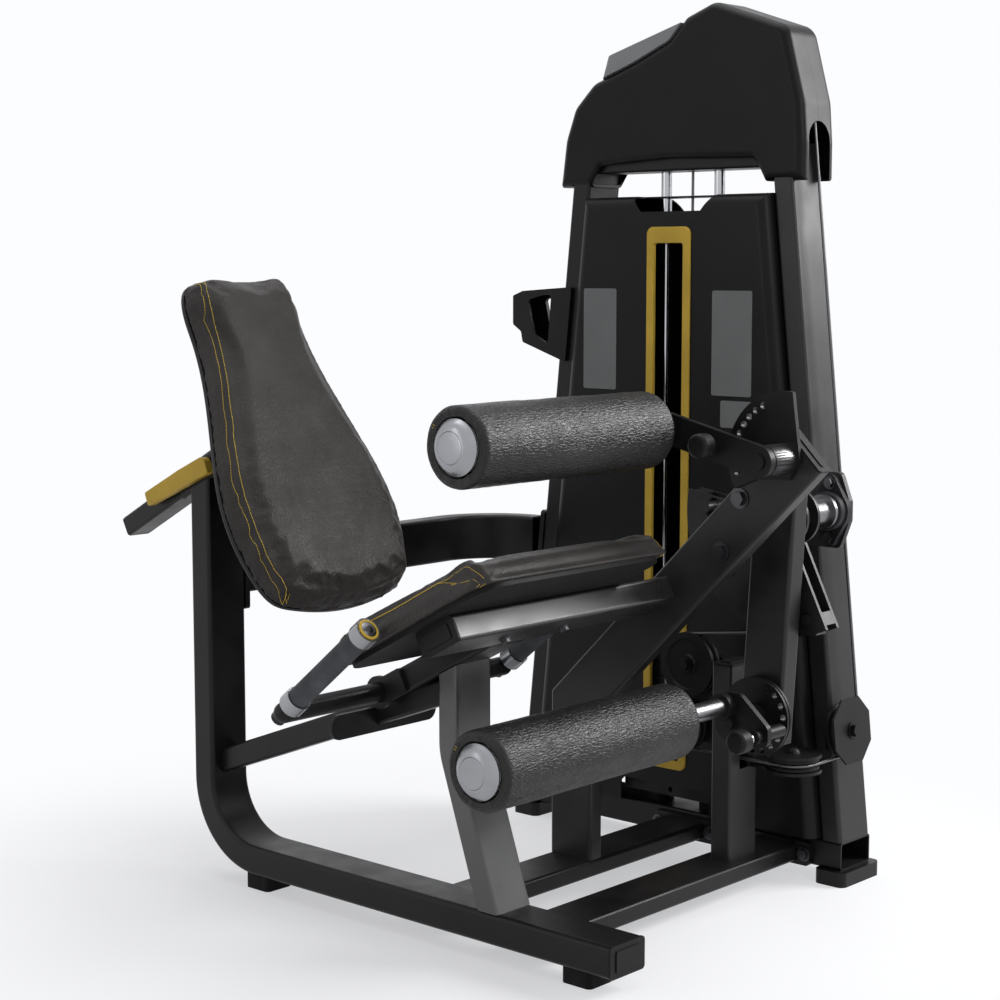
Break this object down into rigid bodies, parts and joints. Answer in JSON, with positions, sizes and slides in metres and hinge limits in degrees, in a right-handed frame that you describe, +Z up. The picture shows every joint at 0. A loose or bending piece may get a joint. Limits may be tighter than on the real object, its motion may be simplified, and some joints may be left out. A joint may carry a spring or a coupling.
{
  "type": "leg extension machine",
  "caption": "Seated leg extension machine: padded seat and sliding back rest, thigh and ankle rollers, swing arm with cam and cable, weight stack in a shrouded tower.",
  "frame": {"origin": "centre of the footprint, on the floor", "axes": "+Z up, the user faces -Y, the weight tower stands on the +X side"},
  "size_m": [1.0329, 1.2392, 1.5062],
  "materials": {
    "frame_paint": "satin black powder coat",
    "yellow_paint": "gloss yellow",
    "black_plastic": "matt",
    "cowl_plastic": "fine grain",
    "grey_plastic": "matt",
    "pad_leather": "fine grain",
    "rubber": "matt",
    "steel": "brushed",
    "chrome": "polished",
    "cast": "painted",
    "aluminium": "satin",
    "board": "painted"
  },
  "bodies": {
    "frame": {"main_frame_tube": "frame_paint", "rubber_feet": "rubber", "front_post": "frame_paint", "seat_strut": "frame_paint", "seat_crossbar": "frame_paint", "seat_rail": "frame_paint", "base_rails": "frame_paint", "beam_post": "frame_paint", "short_post": "frame_paint", "cross_beam": "frame_paint", "upright_front": "frame_paint", "upright_rear": "frame_paint", "tower_base": "frame_paint", "tower_head": "frame_paint", "guide_rods": "chrome", "resting_plates": "cast", "shroud_near": "cowl_plastic", "shroud_far": "cowl_plastic", "slot_frame": "yellow_paint", "cowl_near": "cowl_plastic", "cowl_far": "cowl_plastic", "cowl_tray": "grey_plastic", "bottle_holder": "black_plastic", "flange_bearing": "cast", "sector_plate": "frame_paint", "seat_board": "board", "seat_pad": "pad_leather", "handle_frame": "frame_paint", "grips": "rubber", "slide_sleeve": "frame_paint", "pulley_brackets": "frame_paint", "drive_cable": "steel", "frame_caps": "black_plastic", "frame_bolts": "steel"},
    "stack": {"lifted_stack": "cast", "stack_cable": "steel"},
    "selector": {"selector_pin": "black_plastic"},
    "arm": {"swing_arm": "frame_paint", "knee_shaft": "steel", "cam": "frame_paint", "index_disc": "frame_paint", "cam_cable": "steel"},
    "crank": {"crank_plate": "frame_paint", "ankle_shaft": "chrome"},
    "ankle_pin": {"ankle_pull_pin": "black_plastic"},
    "ankle_pad": {"ankle_roller": "pad_leather"},
    "thigh": {"thigh_arm": "frame_paint", "thigh_shaft": "chrome"},
    "thigh_pin": {"thigh_pull_pin": "black_plastic"},
    "thigh_pad": {"thigh_roller": "pad_leather"},
    "back": {"back_pad": "pad_leather", "back_shell": "grey_plastic", "slide_tube": "frame_paint"},
    "lever": {"release_lever": "yellow_paint"},
    "top_pulley_front_wheel": {"top_pulley_front": "black_plastic"},
    "top_pulley_rear_wheel": {"top_pulley_rear": "black_plastic"},
    "front_pulley_wheel": {"front_pulley": "black_plastic"},
    "lying_pulley_wheel": {"lying_pulley": "black_plastic"},
    "lower_pulley_wheel": {"lower_pulley": "black_plastic"},
    "big_pulley_wheel": {"big_pulley": "black_plastic"}
  },
  "joints": [
    {"name": "knee_hinge", "type": "hinge", "parent": "frame", "child": "arm", "pos_m": [0.2135, -0.43787, 0.647], "axis": [-1, 0, 0], "range_deg": [0, 110]},
    {"name": "stack_lift", "type": "slide", "parent": "frame", "child": "stack", "axis": [0, 0, 1], "range_m": [0, 0.37], "deforming": ["stack_cable"]},
    {"name": "selector_pull", "type": "slide", "parent": "stack", "child": "selector", "axis": [-1, 0, 0], "range_m": [0, 0.08]},
    {"name": "crank_hinge", "type": "hinge", "parent": "arm", "child": "crank", "pos_m": [0.1065, -0.43787, 0.33], "axis": [1, 0, 0], "range_deg": [-60, 60]},
    {"name": "ankle_pin_pull", "type": "slide", "parent": "crank", "child": "ankle_pin", "axis": [-1, 0, 0], "range_m": [-0.01, 0.004]},
    {"name": "ankle_roll", "type": "hinge", "parent": "crank", "child": "ankle_pad", "pos_m": [-0.2515, -0.42587, 0.356], "axis": [1, 0, 0], "continuous": true},
    {"name": "thigh_hinge", "type": "hinge", "parent": "frame", "child": "thigh", "pos_m": [-0.0015, -0.55787, 0.763], "axis": [1, 0, 0], "range_deg": [-10.2, 51]},
    {"name": "thigh_pin_pull", "type": "slide", "parent": "thigh", "child": "thigh_pin", "axis": [-1, 0, 0], "range_m": [-0.007, 0.004]},
    {"name": "thigh_roll", "type": "hinge", "parent": "thigh", "child": "thigh_pad", "pos_m": [-0.2515, -0.38487, 0.805], "axis": [1, 0, 0], "continuous": true},
    {"name": "back_slide", "type": "slide", "parent": "frame", "child": "back", "axis": [0, -0.8829, 0.4695], "range_m": [-0.08, 0.08]},
    {"name": "lever_lift", "type": "hinge", "parent": "frame", "child": "lever", "pos_m": [-0.2515, 0.37623, 0.71725], "axis": [1, 0, 0], "range_deg": [0, 8], "stiffness_Nm_per_rad": 4, "springref_deg": -17.19},
    {"name": "top_pulley_front_spin", "type": "hinge", "parent": "frame", "child": "top_pulley_front_wheel", "pos_m": [0.4485, -0.30021, 1.322], "axis": [1, 0, 0], "range_deg": [-20, 465]},
    {"name": "top_pulley_rear_spin", "type": "hinge", "parent": "frame", "child": "top_pulley_rear_wheel", "pos_m": [0.4485, -0.14487, 1.322], "axis": [1, 0, 0], "range_deg": [-20, 465]},
    {"name": "front_pulley_spin", "type": "hinge", "parent": "frame", "child": "front_pulley_wheel", "pos_m": [0.4065, -0.46091, 0.27176], "axis": [0, 0.9943, -0.1064], "range_deg": [-20, 528]},
    {"name": "lying_pulley_spin", "type": "hinge", "parent": "frame", "child": "lying_pulley_wheel", "pos_m": [0.3035, -0.42638, 0.23], "axis": [0, 0, -1], "range_deg": [-20, 566]},
    {"name": "lower_pulley_spin", "type": "hinge", "parent": "frame", "child": "lower_pulley_wheel", "pos_m": [0.2645, -0.22687, 0.269], "axis": [1, 0, 0], "range_deg": [-20, 566]},
    {"name": "big_pulley_spin", "type": "hinge", "parent": "frame", "child": "big_pulley_wheel", "pos_m": [0.2645, -0.23887, 0.378], "axis": [1, 0, 0], "range_deg": [-20, 440]}
  ],
  "couplings": [
    {"joint": "stack_lift", "follows": "knee_hinge", "m_per_rad": 0.19},
    {"joint": "top_pulley_front_spin", "follows": "knee_hinge", "ratio": 3.9583},
    {"joint": "top_pulley_rear_spin", "follows": "knee_hinge", "ratio": 3.9583},
    {"joint": "front_pulley_spin", "follows": "knee_hinge", "ratio": 4.5238},
    {"joint": "lying_pulley_spin", "follows": "knee_hinge", "ratio": 4.8718},
    {"joint": "lower_pulley_spin", "follows": "knee_hinge", "ratio": 4.8718},
    {"joint": "big_pulley_spin", "follows": "knee_hinge", "ratio": 3.7255}
  ]
}
